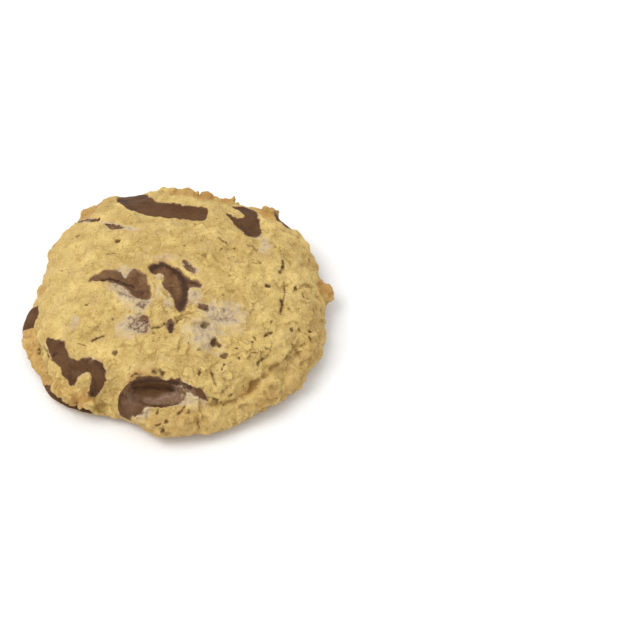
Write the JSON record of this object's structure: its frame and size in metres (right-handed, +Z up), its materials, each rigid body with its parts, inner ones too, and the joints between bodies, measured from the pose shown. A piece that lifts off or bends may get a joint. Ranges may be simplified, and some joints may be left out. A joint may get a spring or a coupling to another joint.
{
  "type": "chocolate chip cookie",
  "caption": "Thick, lumpy round cookie with rough chunks of chocolate set in its top and side, resting on a flat underside.",
  "frame": {"origin": "middle of the underside, halfway across the cookie each way", "axes": "+Z up through the cookie's thickness, -Y towards the front, where the largest hollow with chocolate in it is, +X to the right"},
  "size_m": [0.0866, 0.0868, 0.0216],
  "materials": {
    "dough": "baked cookie dough: matt warm yellow, paler on the lumps, tan in the creases, toasted brown at the rim",
    "chocolate": "milk chocolate that has melted and set: matt brown, slightly glossy in the deep hollows, greyish bloom at its edges"
  },
  "bodies": {
    "root": {"dough": "dough", "chunk_back": "chocolate", "chunk_back_right": "chocolate", "chunk_back_left": "chocolate", "chunk_back_left_low": "chocolate", "chunk_rim_right": "chocolate", "chunk_centre_left": "chocolate", "chunk_centre_right": "chocolate", "chunk_centre_low": "chocolate", "chunk_front_left": "chocolate", "chunk_front": "chocolate", "chunk_left": "chocolate", "chunk_under_lip": "chocolate", "chip_hole": "chocolate", "chip_right": "chocolate", "chip_top": "chocolate"}
  },
  "joints": []
}
